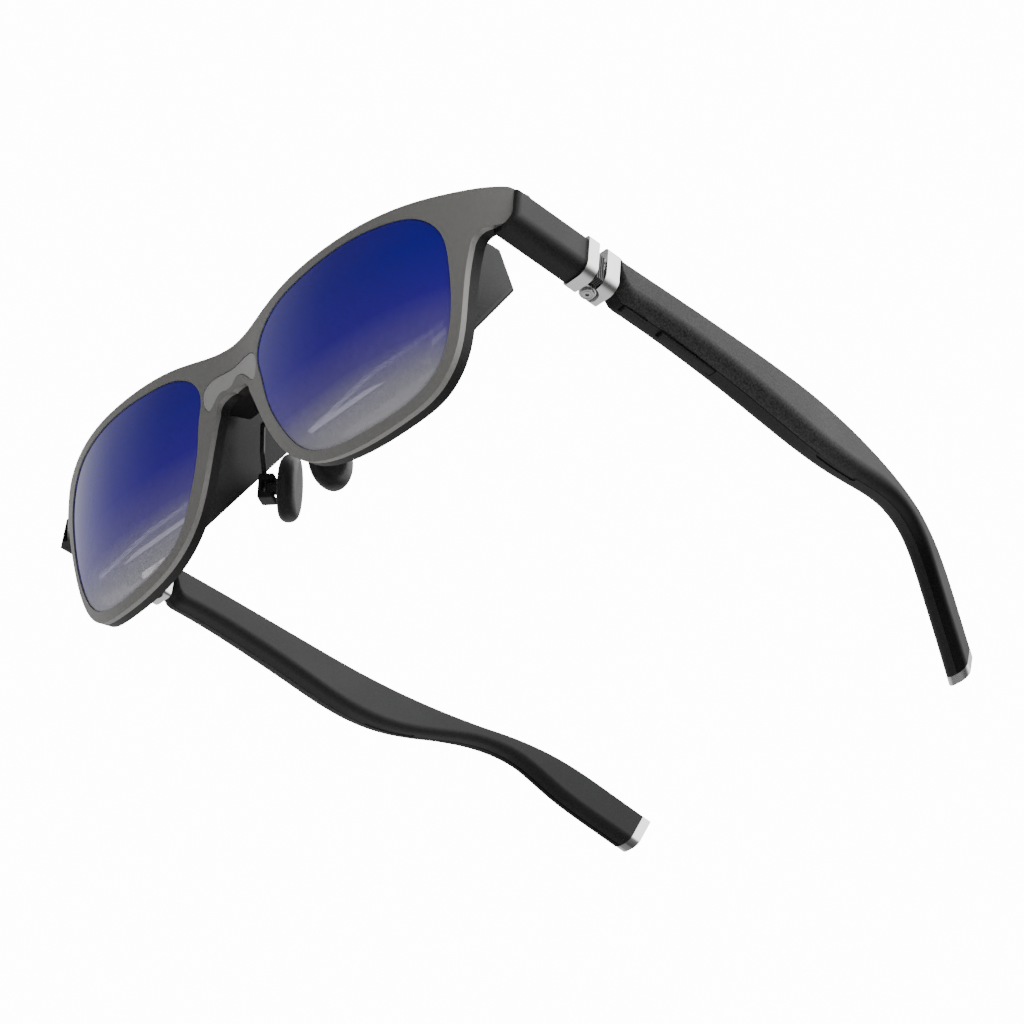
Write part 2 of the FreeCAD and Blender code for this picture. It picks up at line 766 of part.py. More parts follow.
def button_well(name, start, length, clearance):
    return box(
        name, f"sizes.button_width + 2 * {clearance}", f"{length} + 2 * {clearance}", "5.2",
        Vector(size("key_side") - size("button_width") / 2 - clearance, size(start) - clearance, 2.0),
    )


GAP = size("button_clearance")
key_well = button_well("key_well", "key_front", "sizes.key_length", GAP)
rocker_well = button_well("rocker_well", "rocker_front", "sizes.rocker_length", GAP)
button_wells = fuse("button_wells", key_well, rocker_well)

outer_shell = cut("outer_shell", outer_blank, cap_room, hollow, slot_cut)
inner_shell = cut("inner_shell", inner_blank, cap_room, hollow, slot_cut)
# The cable socket sits in the end of the wearer's right temple. It is drawn on the
# left one and mirrored.
PORT_END = Vector(51.2, 166.1, -4.4)
PORT_TURN = Rotation(Z_AXIS, 24).multiply(Rotation(X_AXIS, -90 - TIP_SLOPE))


def port_block(name, margin, start, depth):
    """A block on the socket's axis, wider than its opening by a margin all round."""
    thing = box(
        name, f"sizes.port_width + 2 * {margin}", f"sizes.port_height + 2 * {margin}", depth, ORIGIN
    )
    corner = Vector(-size("port_width") / 2 - margin, -size("port_height") / 2 - margin, start)
    thing.Placement = Placement(PORT_END + PORT_TURN.multVec(corner), PORT_TURN)
    return thing


port_room = port_block("port_room", 0.4, -6.4, "12")
port_outer = port_block("port_outer", 0.3, -6.2, "6")
port_inner = port_block("port_inner", 0.0, -5.6, "8")
port_shell = cut("port_shell", port_outer, port_inner)
port_tongue = port_block("port_tongue", -0.9, -5.8, "4.6")

for shell, side in ((outer_shell, "outer"), (inner_shell, "inner")):
    subpart(cut(f"{side}_left", shell, button_wells), f"temple_{side}_left", WEAR)
    right_only(cut(f"{side}_right", shell, port_room), f"temple_{side}_right")
port_walls = fuse("port_walls", port_shell, port_tongue)
right_only(cut("port", port_walls, beyond_tip), "cable_port")

tip_blank = temple_slice("tip_blank", 0.0, 1.0, 0, 150.0, tail)


def tip_cap(side, *openings):
    end = common(f"tip_end_{side}", tip_blank, cap_room)
    return cut(f"tip_cap_{side}", end, beyond_tip, *openings)


subpart(tip_cap("left"), "temple_tip_cap_left", WEAR)
right_only(tip_cap("right", port_room), "temple_tip_cap_right")

rear_ring = rounded_bar(
    "rear_ring", "sizes.ring_inner", "sizes.ring_outer", "sizes.ring_bottom", "sizes.ring_top",
    "sizes.stub_end + sizes.front_ring_length + sizes.hinge_gap", "sizes.rear_ring_length",
)
ring_start = ring_face + size("hinge_gap")
leaf = lug("leaf", leaf_low, leaf_high, ring_start + 1.0)
ring_relief = fuse(
    "ring_relief",
    standing_cylinder("relief_low", "sizes.knuckle_relief", 0, leaf_low),
    standing_cylinder("relief_high", "sizes.knuckle_relief", leaf_high, 30),
)
hinge_rear = cut("hinge_rear", fuse("hinge_rear_body", rear_ring, leaf), cable_bore, ring_relief, pin_bore)
both_sides(hinge_rear, "hinge_rear_ring", WEAR)

speaker = temple_slice("speaker", 0.26, 0.74, 1.5, 84.0, 94.5)
both_sides(speaker, "speaker", WEAR)
GRILLE_GAP = 0.1
grille_blank = temple_slice(
    "grille_blank", 0.43, 0.59, 0.25, size("slot_front") + GRILLE_GAP, slot_back - GRILLE_GAP
)
grille = cut("grille", grille_blank, box("grille_top", "80", "80", "40", Vector(20, 80, 7.9)))
grille_trim = temple_slice("grille_trim", 0.3, 0.8, 1.0, 90.0, 120.0)
both_sides(cut("grille_plate", grille, grille_trim), "speaker_grille", WEAR)
core = temple_slice("core", 0.46, 0.64, 1.4, 98.0, 157.0)
both_sides(core, "temple_core", WEAR)
temple_board = temple_slice("temple_board", 0.66, 0.78, 1.6, 42.0, 80.0)
both_sides(temple_board, "temple_board", WEAR)

# Buttons under the wearer's left temple, with the switches they press.
button_low = 5.0 - size("button_proud")


def button(name, start, length):
    return box(
        name, "sizes.button_width", length, "sizes.button_height",
        Vector(size("key_side") - size("button_width") / 2, size(start), button_low),
    )


subpart(button("mode_key", "key_front", "sizes.key_length"), "mode_key", WEAR)
subpart(button("volume_rocker", "rocker_front", "sizes.rocker_length"), "volume_rocker", WEAR)
switch_up = button_low + size("button_height") + 0.7
switches = [
    box(f"switch{index}", "1.8", "2.6", "1.6", Vector(size("key_side") - 0.9, back, switch_up))
    for index, back in enumerate((41.6, 52.0, 61.0))
]
subpart(fuse("switches", *switches), "button_switches", WEAR)

# ---------------------------------------------------------------- nose assembly, in the wear frame

PAD = Vector(size("pad_side"), size("pad_back"), size("pad_up"))
PAD_TURN = Rotation(Z_AXIS, -38).multiply(Rotation(X_AXIS, 14))


def pad_frame(offset):
    return Placement(PAD + PAD_TURN.multVec(offset), PAD_TURN)


pad_oval = Part.Ellipse(ORIGIN, size("pad_height") / 2, size("pad_width") / 2)
pad_outline = sketch("pad_outline", [pad_oval])
pad_plate = extrude("pad_plate", pad_outline, size("pad_thickness"))
doc.recompute()
pad_body = doc.addObject("Part::Fillet", "pad_body")
pad_body.Base = pad_plate
pad_body.Edges = [
    (number, size("pad_round"), size("pad_round"))
    for number, edge in enumerate(pad_plate.Shape.Edges, start=1)
    if isinstance(edge.Curve, Part.Ellipse)
]
# The long axis of the oval stands up and its flat face points at the nose.
pad_body.Placement = pad_frame(Vector(size("pad_rear"), 0, 0))
pad_body.Placement = pad_body.Placement.multiply(Placement(ORIGIN, Rotation(Y_AXIS, -90)))
pad_lug_block = box("pad_lug_block", "3.6", "1.6", "2.4", ORIGIN)
pad_lug_block.Placement = pad_frame(Vector(1.0, -0.8, -1.2))
pad_pin_bore = cylinder("pad_pin_bore", "0.5", "12", ORIGIN)
pad_pin_bore.Placement = pad_frame(Vector(3.6, 0, -6))
pad = cut("pad", fuse("pad_all", pad_body, pad_lug_block), pad_pin_bore)
both_sides(pad, "nose_pad", WEAR)

pad_box_block = box("pad_box_block", "3.4", "4.4", "5.6", ORIGIN)
pad_box_block.Placement = pad_frame(Vector(2.4, -2.2, -2.8))
pad_box_room = box("pad_box_room", "3.6", "5", "2.7", ORIGIN)
pad_box_room.Placement = pad_frame(Vector(1.3, -2.5, -1.35))
pad_box_pin = cylinder("pad_box_pin", "0.45", "5", ORIGIN)
pad_box_pin.Placement = pad_frame(Vector(3.6, 0, -2.5))
pad_box = fuse("pad_box", cut("pad_box_open", pad_box_block, pad_box_room), pad_box_pin)
both_sides(pad_box, "pad_box", WEAR)

WIRE_ROUTE = [Vector(5.05, 12.5, 4.2), Vector(6.9, 12.5, 4.2), Vector(7.7, 14.0, -2.0)]
wire_end = PAD + PAD_TURN.multVec(Vector(4.9, 0, 2.6))


def rod(name, first, last, radius):
    direction = last - first
    return cylinder(name, radius, str(direction.Length), first, direction)


def bent_wire(name, points, radius):
    pieces = []
    for index, (first, last) in enumerate(zip(points, points[1:])):
        pieces.append(rod(f"{name}_run{index}", first, last, radius))
    for index, corner in enumerate(points[1:-1]):
        ball = doc.addObject("Part::Sphere", f"{name}_bend{index}")
        bind(ball, Radius=radius)
        ball.Placement = Placement(corner, Rotation())
        pieces.append(ball)
    return fuse(name, *pieces)


wire = bent_wire("wire", WIRE_ROUTE + [wire_end], "sizes.wire_radius")
both_sides(wire, "nose_wire", WEAR)

bracket_plate = box("bracket_plate", "10", "1.6", "2.6", Vector(-5, 11.7, 2.9))
bracket_bores = []
bracket_screws = []
for index, side in enumerate((-3.2, 3.2)):
    seat = Vector(side, 13.3, 4.2)
    bracket_bores.append(cylinder(f"bracket_bore{index}", "0.55", "4", seat, -Y_AXIS))
    head = cylinder(f"screw_head{index}", "0.95", "0.5", seat, Y_AXIS)
    shank = cylinder(f"screw_shank{index}", "0.5", "1.5", seat, -Y_AXIS)
    bracket_screws.append(fuse(f"screw{index}", head, shank))
subpart(cut("bracket", bracket_plate, *bracket_bores), "nose_bracket", WEAR)
subpart(fuse("bracket_screws", *bracket_screws), "bracket_screws", WEAR)

# ---------------------------------------------------------------- export

doc.recompute()
os.makedirs("parts", exist_ok=True)
for thing in doc.Objects:
    if any(flag in thing.State for flag in ("Invalid", "Error")):
        raise RuntimeError(f"{thing.Name} failed: {thing.State}")
for thing in SUBPARTS:
    shape = thing.Shape
    if shape.isNull() or not shape.isValid() or shape.Volume <= 0:
        raise RuntimeError(f"{thing.Label} has no valid shape")
    bounds = shape.BoundBox
    print(
        f"{thing.Label:24s} {len(shape.Solids)} solid {shape.Volume:9.1f} mm3  "
        f"x {bounds.XMin:7.1f} {bounds.XMax:7.1f} y {bounds.YMin:7.1f} {bounds.YMax:7.1f} "
        f"z {bounds.ZMin:6.1f} {bounds.ZMax:6.1f}"
    )
    shape.exportStep(f"parts/{thing.Label}.step")
print(len(SUBPARTS), "sub-parts")
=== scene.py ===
import json
import math

import bmesh
import bpy
from mathutils import Matrix, Vector

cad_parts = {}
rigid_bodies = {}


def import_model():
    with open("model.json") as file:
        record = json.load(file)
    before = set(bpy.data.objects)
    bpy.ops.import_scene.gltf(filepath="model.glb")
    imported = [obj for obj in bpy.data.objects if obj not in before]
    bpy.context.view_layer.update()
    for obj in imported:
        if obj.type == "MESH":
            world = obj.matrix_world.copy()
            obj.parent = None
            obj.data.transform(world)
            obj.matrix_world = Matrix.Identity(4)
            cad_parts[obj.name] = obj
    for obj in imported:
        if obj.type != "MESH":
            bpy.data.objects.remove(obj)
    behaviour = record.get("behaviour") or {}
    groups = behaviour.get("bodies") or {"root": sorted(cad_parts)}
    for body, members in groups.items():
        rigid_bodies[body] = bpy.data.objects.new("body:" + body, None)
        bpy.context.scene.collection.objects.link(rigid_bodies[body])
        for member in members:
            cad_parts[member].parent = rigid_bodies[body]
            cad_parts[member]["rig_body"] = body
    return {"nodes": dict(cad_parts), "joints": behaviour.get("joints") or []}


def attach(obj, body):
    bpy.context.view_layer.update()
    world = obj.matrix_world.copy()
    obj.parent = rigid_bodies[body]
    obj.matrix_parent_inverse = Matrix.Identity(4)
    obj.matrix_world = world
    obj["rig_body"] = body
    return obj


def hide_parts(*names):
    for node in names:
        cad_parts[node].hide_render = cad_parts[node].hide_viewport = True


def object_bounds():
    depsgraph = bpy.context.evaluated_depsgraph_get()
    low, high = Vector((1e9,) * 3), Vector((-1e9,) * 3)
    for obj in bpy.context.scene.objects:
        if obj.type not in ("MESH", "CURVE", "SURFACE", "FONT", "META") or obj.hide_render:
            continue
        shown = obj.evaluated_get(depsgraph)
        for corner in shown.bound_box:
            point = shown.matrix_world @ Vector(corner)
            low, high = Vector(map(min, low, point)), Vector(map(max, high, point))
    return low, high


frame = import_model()

# Smart glasses: the looks. Metres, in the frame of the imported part.
# The wearer's left is +X, the temples run back along +Y and +Z is up.

CAD_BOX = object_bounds()
MM = 0.001
SIDES = ("left", "right")
JOINTS = {joint["name"]: joint for joint in frame["joints"]}


def upward(joint):
    """A joint's axis, turned to point up."""
    axis = Vector(JOINTS[joint]["axis"])
    return axis * math.copysign(1.0, axis.z)


TEMPLE_UP = upward("temple_fold_left")
TEMPLE_BACK = TEMPLE_UP.cross(Vector((1, 0, 0))).normalized()
FRONT_UP = upward("diopter_turn_left")


# ---------------------------------------------------------------- materials

# Where the painted shade on the temple's grey starts and stops, behind the hinge.
PAINTED_SHADE_START = 62 * MM
PAINTED_SHADE_END = 92 * MM
# The lens from its bottom, 0, to its top, 1: its colour, and how much it covers. The colour is the lens's
# own blue tint, fading towards the bottom, where its pale grey is a painted reflection.
LENS_TINT_AND_REFLECTION = [
    (0.00, (0.46, 0.455, 0.47)),
    (0.14, (0.34, 0.33, 0.39)),
    (0.32, (0.10, 0.075, 0.31)),
    (0.52, (0.026, 0.007, 0.27)),
    (0.80, (0.010, 0.0, 0.24)),
    (1.00, (0.009, 0.0, 0.21)),
]
LENS_COVER = [(0.02, 0.66), (0.18, 0.72), (0.34, 0.88), (0.50, 0.985)]
LENS_HAZE = 0.015
# Strength of the painted glow on the splitter's cut edges.
PAINTED_EDGE_GLOW = 2.2


class Finish:
    """A material made of nodes, with a few short cuts for adding to it."""

    def __init__(self, name, colour, roughness, metallic=0.0, **sockets):
        self.material = bpy.data.materials.new(name)
        self.material.use_nodes = True
        self.tree = self.material.node_tree
        self.shader = self.tree.nodes["Principled BSDF"]
        self.shader.inputs["Base Color"].default_value = (*colour, 1)
        self.shader.inputs["Roughness"].default_value = roughness
        self.shader.inputs["Metallic"].default_value = metallic
        for socket, value in sockets.items():
            self.shader.inputs[socket.replace("_", " ")].default_value = value
        self.place = self.add("ShaderNodeTexCoord").outputs["Object"]

    def add(self, kind, **settings):
        node = self.tree.nodes.new(kind)
        for setting, value in settings.items():
            setattr(node, setting, value)
        return node

    def link(self, output, socket):
        self.tree.links.new(output, socket)

    def noise(self, size, detail=2.0, stretch=None):
        """Noise whose features are about that many metres across."""
        place = self.place
        if stretch:
            mapping = self.add("ShaderNodeMapping")
            mapping.inputs["Scale"].default_value = stretch
            self.link(place, mapping.inputs["Vector"])
            place = mapping.outputs["Vector"]
        noise = self.add("ShaderNodeTexNoise")
        noise.inputs["Scale"].default_value = 1.0 / size
        noise.inputs["Detail"].default_value = detail
        self.link(place, noise.inputs["Vector"])
        return noise.outputs["Fac"]

    def ramp(self, value, stops):
        """A smooth run of colours, or of greys, along a value."""
        ramp = self.add("ShaderNodeValToRGB")
        elements = ramp.color_ramp.elements
        while len(elements) < len(stops):
            elements.new(0.5)
        for element, (position, tone) in zip(elements, stops):
            colour = tone if isinstance(tone, tuple) else (tone, tone, tone)
            element.position = position
            element.color = (*colour, 1)
        self.link(value, ramp.inputs["Fac"])
        return ramp.outputs["Color"]

    def part_along(self, vector, direction):
        """How far a vector reaches along a direction."""
        dot = self.add("ShaderNodeVectorMath", operation="DOT_PRODUCT")
        dot.inputs[1].default_value = direction
        self.link(vector, dot.inputs[0])
        return dot.outputs["Value"]

    def along(self, direction, low, high):
        """0 to 1 along a direction, from low to high, in metres from the origin."""
        span = self.add("ShaderNodeMapRange")
        span.inputs["From Min"].default_value = low
        span.inputs["From Max"].default_value = high
        self.link(self.part_along(self.place, direction), span.inputs["Value"])
        return span.outputs["Result"]

    def colour_from(self, output):
        self.link(output, self.shader.inputs["Base Color"])

    def cover_from(self, output):
        self.link(output, self.shader.inputs["Alpha"])

    def roughness_from(self, value, low, high):
        span = self.add("ShaderNodeMapRange")
        span.inputs["To Min"].default_value = low
        span.inputs["To Max"].default_value = high
        self.link(value, span.inputs["Value"])
        self.link(span.outputs["Result"], self.shader.inputs["Roughness"])

    def bump_from(self, value, depth):
        bump = self.add("ShaderNodeBump")
        bump.inputs["Strength"].default_value = 1.0
        bump.inputs["Distance"].default_value = depth
        self.link(value, bump.inputs["Height"])
        self.link(bump.outputs["Normal"], self.shader.inputs["Normal"])


def temple_finish():
    """Speckled grey along the temple, with painted shade that darkens it over the curve behind the ear."""
    hinge = Vector(JOINTS["temple_fold_left"]["pos_m"]).dot(TEMPLE_BACK)
    finish = Finish("temple_grey", (0.022, 0.022, 0.022), 0.48, Specular_IOR_Level=0.24)
    speckle = finish.noise(0.4 * MM, detail=3.0)
    grey = finish.ramp(speckle, [(0.36, 0.011), (0.64, 0.034)])
    # Painted shade: the grey darkens towards the back, standing in for the darker surroundings that the
    # turning face reflects there.
    back = finish.along(TEMPLE_BACK, hinge + PAINTED_SHADE_START, hinge + PAINTED_SHADE_END)
    painted_shade = finish.ramp(back, [(0.0, 1.0), (1.0, 0.15)])
    product = finish.add("ShaderNodeVectorMath", operation="MULTIPLY")
    finish.link(grey, product.inputs[0])
    finish.link(painted_shade, product.inputs[1])
    finish.colour_from(product.outputs["Vector"])
    finish.roughness_from(finish.noise(9 * MM, detail=4.0), 0.43, 0.55)
    finish.bump_from(speckle, 0.02 * MM)
    return finish.material


def tones(colour, spread):
    """A darker and a lighter version of a colour."""
    return tuple(c * (1 - spread) for c in colour), tuple(c * (1 + spread) for c in colour)


def moulded(name, colour, roughness, grain, depth, spread, **sockets):
    """Moulded or painted plastic: fine speckle, soft blotches and uneven gloss."""
    finish = Finish(name, colour, roughness, **sockets)
    speckle = finish.noise(grain, detail=3.0)
    darker, lighter = tones(colour, spread)
    finish.colour_from(finish.ramp(speckle, [(0.35, darker), (0.65, lighter)]))
    blotch = finish.noise(9 * MM, detail=4.0)
    finish.roughness_from(blotch, roughness - 0.05, roughness + 0.07)
    finish.bump_from(speckle, depth)
    return finish.material


def brushed(name, colour, roughness, stretch):
    """Brushed metal with fine scratches across the stretch."""
    finish = Finish(name, colour, roughness, metallic=1.0)
    lines = finish.noise(0.35 * MM, detail=5.0, stretch=stretch)
    darker, lighter = tones(colour, 0.12)
    finish.colour_from(finish.ramp(lines, [(0.3, darker), (0.7, lighter)]))
    finish.roughness_from(lines, roughness - 0.06, roughness + 0.1)
    finish.bump_from(lines, 0.004 * MM)
    return finish.material


def lens_finish():
    """A blue tint under a glossy coat that fades at the bottom to a pale grey, which is a painted
    reflection.
    """
    heights = [vertex.co.dot(FRONT_UP) for vertex in frame["nodes"]["lens_cover_left"].data.vertices]
    finish = Finish(
        "tinted_lens", (0.01, 0.015, 0.12), 0.06,
        Specular_IOR_Level=0.85, Specular_Tint=(0.34, 0.33, 1.0, 1.0),
        Coat_Weight=0.2, Coat_Roughness=0.03,
    )
    haze = finish.noise(14 * MM)
    mixed = finish.add("ShaderNodeMath", operation="MULTIPLY_ADD")
    mixed.inputs[1].default_value = LENS_HAZE
    finish.link(haze, mixed.inputs[0])
    finish.link(finish.along(FRONT_UP, min(heights), max(heights)), mixed.inputs[2])
    # The pale grey at the bottom of this colour is a painted reflection over the lens's own blue tint.
    finish.colour_from(finish.ramp(mixed.outputs["Value"], LENS_TINT_AND_REFLECTION))
    finish.cover_from(finish.ramp(mixed.outputs["Value"], LENS_COVER))
    finish.roughness_from(haze, 0.04, 0.09)
    return finish.material


def glass(name):
    """Clear optical glass or acrylic, and the pattern of its faint smudges."""
    finish = Finish(name, (0.55, 0.57, 0.66), 0.05, Coat_Weight=0.6, Coat_Roughness=0.02, IOR=1.5)
    smudge = finish.noise(6 * MM, detail=3.0)
    finish.roughness_from(smudge, 0.03, 0.08)
    return finish, smudge


def clear_finish():
    finish, smudge = glass("clear_optic")
    finish.cover_from(finish.ramp(smudge, [(0.3, 0.15), (0.7, 0.17)]))
    return finish.material


def splitter_finish():
    """Clear plate whose cut edges glow with painted light, standing in for the display's light they catch.
    """
    finish, _ = glass("splitter_glass")
    plate = frame["nodes"]["beam_splitter_left"].data
    broad = max(plate.polygons, key=lambda polygon: polygon.area).normal.copy()
    normal = finish.add("ShaderNodeNewGeometry").outputs["Normal"]
    size = finish.add("ShaderNodeMath", operation="ABSOLUTE")
    finish.link(finish.part_along(normal, broad), size.inputs[0])
    flatness = size.outputs["Value"]
    finish.cover_from(finish.ramp(flatness, [(0.4, 0.95), (0.6, 0.14)]))
    # Painted glow: the cut edges emit light of their own in place of the display's light.
    painted_glow = finish.ramp(flatness, [(0.4, (0.85, 0.85, 1.0)), (0.6, 0.0)])
    finish.link(painted_glow, finish.shader.inputs["Emission Color"])
    finish.shader.inputs["Emission Strength"].default_value = PAINTED_EDGE_GLOW
    return finish.material


# Moulded finishes: colour, roughness, grain, depth of the grain and spread of the tone.
FINISHES = {
    "bezel_metal": moulded(
        "bezel_metal", (0.21, 0.208, 0.20), 0.42, 0.12 * MM, 0.006 * MM, 0.08, Metallic=0.35
    ),
    "frame_plastic": moulded(
        "frame_plastic", (0.011, 0.011, 0.011), 0.46, 0.22 * MM, 0.02 * MM, 0.45, Specular_IOR_Level=0.25
    ),
    "temple_grey": temple_finish(),
    "temple_black": moulded(
        "temple_black", (0.014, 0.014, 0.015), 0.50, 0.22 * MM, 0.015 * MM, 0.35, Specular_IOR_Level=0.25
    ),
    "window_grey": moulded("window_grey", (0.30, 0.30, 0.295), 0.30, 0.15 * MM, 0.004 * MM, 0.06),
    "tinted_lens": lens_finish(),
    "clear_optic": clear_finish(),
    "brushed_silver": brushed("brushed_silver", (0.86, 0.86, 0.85), 0.26, (1.0, 12.0, 1.0)),
    "steel": brushed("steel", (0.62, 0.62, 0.63), 0.3, (1.0, 1.0, 6.0)),
    "silicone": moulded(
        "silicone", (0.013, 0.013, 0.014), 0.38, 0.5 * MM, 0.01 * MM, 0.2, Sheen_Weight=0.15
    ),
    "circuit_board": moulded("circuit_board", (0.01, 0.07, 0.035), 0.35, 0.6 * MM, 0.01 * MM, 0.4),
    "electronic_black": moulded(
        "electronic_black", (0.02, 0.02, 0.022), 0.3, 0.4 * MM, 0.01 * MM, 0.3
    ),
}
SPLITTER = splitter_finish()


# ---------------------------------------------------------------- pieces

WELD = 0.0002 * MM
SAME_FACE = math.radians(8)
SAME_FACE_SHAPE = math.radians(60)
ROUNDED_FROM = math.radians(28)
CREASE = math.radians(35)


def slot_of(node):
    """The material slot of a CAD node, before or after it is dressed."""
    return frame["nodes"][node].data.materials[0].name.split(".")[0]


def new_piece(name, mesh, slot, node):
    """A piece that stands for a CAD node, rides on its body and takes a slot's finish."""
    piece = bpy.data.objects.new(name, mesh)
    bpy.context.scene.collection.objects.link(piece)
    mesh.materials.clear()
    mesh.materials.append(FINISHES[slot])
    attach(piece, frame["nodes"][node]["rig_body"])
    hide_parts(node)
    return piece


def piece_from(shape, name, slot, node):
    """A piece made of a bmesh, which is used up."""
    mesh = bpy.data.meshes.new(name)
    shape.to_mesh(mesh)
    shape.free()
    return new_piece(name, mesh, slot, node)


def apply_modifiers(piece):
    bpy.context.view_layer.update()
    graph = bpy.context.evaluated_depsgraph_get()
    mesh = bpy.data.meshes.new_from_object(piece.evaluated_get(graph))
    piece.modifiers.clear()
    piece.data = mesh


def shade_smooth(piece):
    for polygon in piece.data.polygons:
        polygon.use_smooth = True


def weigh_normals(piece):
    """Keeps flat faces flat where they run into rounded edges."""
    normals = piece.modifiers.new("normals", "WEIGHTED_NORMAL")
    normals.keep_sharp = True


def crease(piece, angle=CREASE):
    """Smooth shading that breaks at edges sharper than the angle."""
    shade_smooth(piece)
    piece.data.set_sharp_from_angle(angle=angle)
    weigh_normals(piece)
    apply_modifiers(piece)


def welded(node):
    """The CAD node's mesh with shared corners and as few triangles as its faces allow."""
    shape = bmesh.new()
    shape.from_mesh(frame["nodes"][node].data)
    bmesh.ops.remove_doubles(shape, verts=shape.verts, dist=WELD)
    bmesh.ops.join_triangles(
        shape, faces=shape.faces, angle_face_threshold=SAME_FACE, angle_shape_threshold=SAME_FACE_SHAPE
    )
    shape.normal_update()
    return shape


def rounded(node, width, segments):
    """The node with its sharp edges rounded over."""
    shape = welded(node)
    weights = shape.edges.layers.float.new("bevel_weight_edge")
    for edge in shape.edges:
        if len(edge.link_faces) == 2 and edge.calc_face_angle() >= ROUNDED_FROM:
            edge[weights] = 1.0
    piece = piece_from(shape, f"{node}_shell", slot_of(node), node)
    shade_smooth(piece)
    bevel = piece.modifiers.new("edges", "BEVEL")
    bevel.width = width
    bevel.segments = segments
    bevel.limit_method = "WEIGHT"
    bevel.miter_outer = "MITER_ARC"
    weigh_normals(piece)
    apply_modifiers(piece)


def softened(node, voxel, rounds, slot):
    """The node as one even, soft skin, for moulded rubber and bent wire."""
    piece = new_piece(f"{node}_skin", frame["nodes"][node].data.copy(), slot, node)
    remesh = piece.modifiers.new("skin", "REMESH")
    remesh.mode = "VOXEL"
    remesh.voxel_size = voxel
    smooth = piece.modifiers.new("soft", "SMOOTH")
    smooth.factor = 0.5
    smooth.iterations = rounds
    apply_modifiers(piece)
    shade_smooth(piece)
    return piece


def skinned(rings):
    """A closed skin through rings of points, as a bmesh."""
    shape = bmesh.new()
    loops = [[shape.verts.new(point) for point in ring] for ring in rings]
    for one, two in zip(loops, loops[1:]):
        count = len(one)
        for index in range(count):
            following = (index + 1) % count
            shape.faces.new((one[index], one[following], two[following], two[index]))
    shape.faces.new(reversed(loops[0]))
    shape.faces.new(loops[-1])
    bmesh.ops.recalc_face_normals(shape, faces=shape.faces)
    return shape


def sliced(shape, point, normal):
    """Cuts away what lies beyond a plane and closes the cut."""
    geometry = shape.verts[:] + shape.edges[:] + shape.faces[:]
    cut = bmesh.ops.bisect_plane(
        shape, geom=geometry, plane_co=point, plane_no=normal, clear_outer=True
    )
    edges = [part for part in cut["geom_cut"] if isinstance(part, bmesh.types.BMEdge)]
    bmesh.ops.contextual_create(shape, geom=edges)
    bmesh.ops.recalc_face_normals(shape, faces=shape.faces)
    return shape


def box_shape(low, high):
    shape = bmesh.new()
    bmesh.ops.create_cube(shape, size=1.0)
    middle = (low + high) / 2
    for vertex in shape.verts:
        vertex.co = Vector([vertex.co[axis] * (high - low)[axis] for axis in range(3)]) + middle
    return shape


def hull_of(node, grow):
    """A CAD node's convex hull, grown about its middle."""
    shape = bmesh.new()
    shape.from_mesh(frame["nodes"][node].data)
    hull = bmesh.ops.convex_hull(shape, input=shape.verts)
    spare = list(set(hull["geom_interior"] + hull["geom_unused"]))
    bmesh.ops.delete(shape, geom=spare, context="VERTS")
    middle = sum((vertex.co for vertex in shape.verts), Vector()) / len(shape.verts)
    for vertex in shape.verts:
        vertex.co = middle + (vertex.co - middle) * grow
    bmesh.ops.recalc_face_normals(shape, faces=shape.faces)
    return shape


def carve(piece, cutters):
    """Cuts closed shapes, which are used up, out of a piece."""
    things = []
    for index, cutter in enumerate(cutters):
        mesh = bpy.data.meshes.new(f"cutter{index}")
        cutter.to_mesh(mesh)
        cutter.free()
        thing = bpy.data.objects.new(f"cutter{index}", mesh)
        bpy.context.scene.collection.objects.link(thing)
        things.append(thing)
        boolean = piece.modifiers.new(f"cut{index}", "BOOLEAN")
        boolean.operation = "DIFFERENCE"
        boolean.solver = "EXACT"
        boolean.object = thing
    apply_modifiers(piece)
    for thing in things:
        bpy.data.objects.remove(thing)


# ---------------------------------------------------------------- temples

# The temples are made level, as across, back and up, and then turned into place.
TO_LEVEL = Matrix(((1, 0, 0), TEMPLE_BACK, TEMPLE_UP))
FROM_LEVEL = TO_LEVEL.transposed()
MIRRORED = Matrix.Diagonal((-1, 1, 1, 1))
STATIONS = 120
SMOOTH_ROUNDS = 4
# The sections go on past the tip, along the trend of the last ones, and are cut there.
TREND_ROWS = 5
OVERRUN_ROWS = 8
OVERRUN_STEP = 0.4
WALL = 1.2 * MM
MOST_WALL = 0.3
MOST_ROUND = 0.42
SEAM_SHARE = 0.55
SEAM_GAP = 0.03 * MM
SEAM_ROUND = 0.16 * MM
SEAM_STEPS = 3
LOW_ROUND = 2.8 * MM
INNER_LOW_ROUND = 1.9 * MM
LOW_STEPS = 8
HIGH_ROUND = 0.8 * MM
HIGH_STEPS = 5
CAP_LENGTH = 2.1 * MM
CAP_GAP = 0.03 * MM
CAP_ROUND = 0.35 * MM
CAP_KEEN = math.radians(50)
BUTTON_GAP = 0.15 * MM
WELL_BELOW = 2 * MM
WELL_ABOVE = 0.6 * MM
SLOT_STEPS = 24
SLOT_SHARE = 0.47
SLOT_HALF_WIDTH = 0.55 * MM
SLOT_NARROWEST = 0.2
SLOT_BELOW = 1.5 * MM
SLOT_ABOVE = 1.6 * MM
PORT_GROWTH = 1.04


def level_box(node):
    """The lowest and highest corners of a CAD node with the temples level."""
    points = [TO_LEVEL @ vertex.co for vertex in frame["nodes"][node].data.vertices]
    low = Vector([min(point[axis] for point in points) for axis in range(3)])
    high = Vector([max(point[axis] for point in points) for axis in range(3)])
    return low, high


def tip_end():
    """A point on the flat end of the left temple and the way it faces, temples level."""
    shape = welded("temple_tip_cap_left")
    end = max(shape.faces, key=lambda face: face.normal.dot(TEMPLE_BACK) * face.calc_area())
    middle = TO_LEVEL @ end.calc_center_median()
    normal = TO_LEVEL @ end.normal
    shape.free()
    return middle, normal


